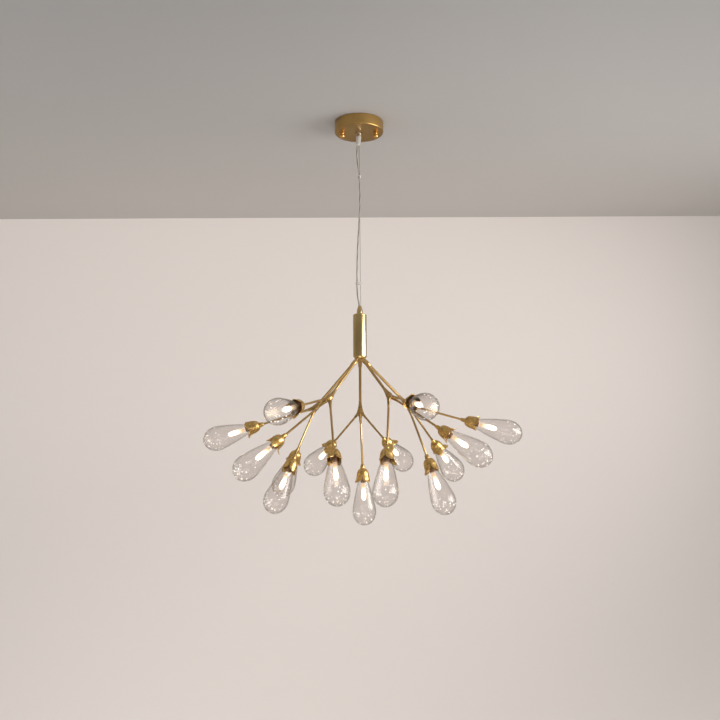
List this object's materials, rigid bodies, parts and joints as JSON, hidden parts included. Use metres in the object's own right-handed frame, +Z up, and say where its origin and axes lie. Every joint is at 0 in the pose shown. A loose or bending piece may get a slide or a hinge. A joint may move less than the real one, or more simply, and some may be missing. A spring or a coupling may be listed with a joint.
{
  "type": "branch chandelier",
  "caption": "Hanging branch chandelier: brass arms that fork into twigs, each ending in a petalled cup with a clear glass drop over a lit capsule.",
  "frame": {"origin": "centre of the ceiling bracket's two screw slots, in the ceiling plane, on the rose's axis", "axes": "+Z up into the ceiling, -Y the front that faces the viewer, +X the viewer's right"},
  "size_m": [0.757, 0.7052, 0.9773],
  "materials": {
    "zinc_steel": "zinc plated",
    "earth_brass": "plain turned",
    "satin_brass": "satin, lacquered",
    "knob_brass": "polished, lacquered",
    "nut_steel": "nickel plated",
    "clear_plastic": "clear, slightly milky",
    "lead_sleeve": "sleeved pair",
    "driver_case": "moulded case",
    "terminal_plastic": "moulded",
    "wire_steel": "stranded, bright",
    "clear_cord": "clear sheath over copper",
    "polished_brass": "polished, lacquered",
    "cast_brass": "cast, brushed, lacquered",
    "cup_brass": "antique gold, polished",
    "holder_ceramic": "dark moulded, heat proof",
    "lit_capsule": "lit, clear silicone over chips",
    "clear_glass": "clear blown glass"
  },
  "bodies": {
    "ceiling_rose": {"ceiling_bracket": "zinc_steel", "bracket_studs": "zinc_steel", "earth_screw": "earth_brass", "canopy": "satin_brass", "canopy_ball_nuts": "knob_brass", "cord_nipple": "nut_steel", "nipple_locknut": "zinc_steel", "nipple_nut": "nut_steel", "cord_grip": "clear_plastic", "canopy_lead": "lead_sleeve", "led_driver": "driver_case", "terminal_block": "terminal_plastic"},
    "wire_swivel_ball": {"wire_ball": "wire_steel"},
    "suspension": {"suspension_wire": "wire_steel", "power_cord": "clear_cord", "cord_ties": "clear_plastic", "stop_disc": "nut_steel", "wire_crimp": "wire_steel", "splice_block": "terminal_plastic"},
    "stem": {"cap_nose": "satin_brass", "stem_cap": "satin_brass", "nose_nut": "zinc_steel", "stem_tube": "satin_brass", "arm_hub": "satin_brass"},
    "arm_1": {"arm_tube_1": "polished_brass", "arm_fork_1": "cast_brass", "arm_twigs_1": "polished_brass", "calyx_cups_1": "cup_brass", "lamp_holders_1": "holder_ceramic", "lamp_capsules_1": "lit_capsule", "glass_shades_1": "clear_glass"},
    "arm_2": {"arm_tube_2": "polished_brass", "arm_fork_2": "cast_brass", "arm_twigs_2": "polished_brass", "calyx_cups_2": "cup_brass", "lamp_holders_2": "holder_ceramic", "lamp_capsules_2": "lit_capsule", "glass_shades_2": "clear_glass"},
    "arm_3": {"arm_tube_3": "polished_brass", "arm_fork_3": "cast_brass", "arm_twigs_3": "polished_brass", "calyx_cups_3": "cup_brass", "lamp_holders_3": "holder_ceramic", "lamp_capsules_3": "lit_capsule", "glass_shades_3": "clear_glass"},
    "arm_4": {"arm_tube_4": "polished_brass", "arm_fork_4": "cast_brass", "arm_twigs_4": "polished_brass", "calyx_cups_4": "cup_brass", "lamp_holders_4": "holder_ceramic", "lamp_capsules_4": "lit_capsule", "glass_shades_4": "clear_glass"},
    "arm_5": {"arm_tube_5": "polished_brass", "arm_fork_5": "cast_brass", "arm_twigs_5": "polished_brass", "calyx_cups_5": "cup_brass", "lamp_holders_5": "holder_ceramic", "lamp_capsules_5": "lit_capsule", "glass_shades_5": "clear_glass"}
  },
  "joints": [
    {"name": "swing_fore_aft", "type": "hinge", "parent": "ceiling_rose", "child": "wire_swivel_ball", "pos_m": [0, 0, -0.059], "axis": [1, 0, 0], "range_deg": [-8, 8]},
    {"name": "swing_side", "type": "hinge", "parent": "wire_swivel_ball", "child": "suspension", "pos_m": [0, 0, -0.059], "axis": [0, 1, 0], "range_deg": [-8, 8]},
    {"name": "stem_swivel", "type": "hinge", "parent": "suspension", "child": "stem", "pos_m": [0, 0, -0.5], "axis": [0, 0, 1], "range_deg": [-180, 180]},
    {"name": "arm_1_turn", "type": "hinge", "parent": "stem", "child": "arm_1", "pos_m": [0, 0, -0.589], "axis": [0, 0.7071, -0.7071], "range_deg": [-15, 15]},
    {"name": "arm_2_turn", "type": "hinge", "parent": "stem", "child": "arm_2", "pos_m": [0, 0, -0.589], "axis": [0.6915, 0.1983, -0.6947], "range_deg": [-15, 15]},
    {"name": "arm_3_turn", "type": "hinge", "parent": "stem", "child": "arm_3", "pos_m": [0, 0, -0.589], "axis": [0.4022, -0.5964, -0.6947], "range_deg": [-15, 15]},
    {"name": "arm_4_turn", "type": "hinge", "parent": "stem", "child": "arm_4", "pos_m": [0, 0, -0.589], "axis": [-0.4277, -0.5474, -0.7193], "range_deg": [-15, 15]},
    {"name": "arm_5_turn", "type": "hinge", "parent": "stem", "child": "arm_5", "pos_m": [0, 0, -0.589], "axis": [-0.6522, 0.1994, -0.7314], "range_deg": [-15, 15]}
  ]
}
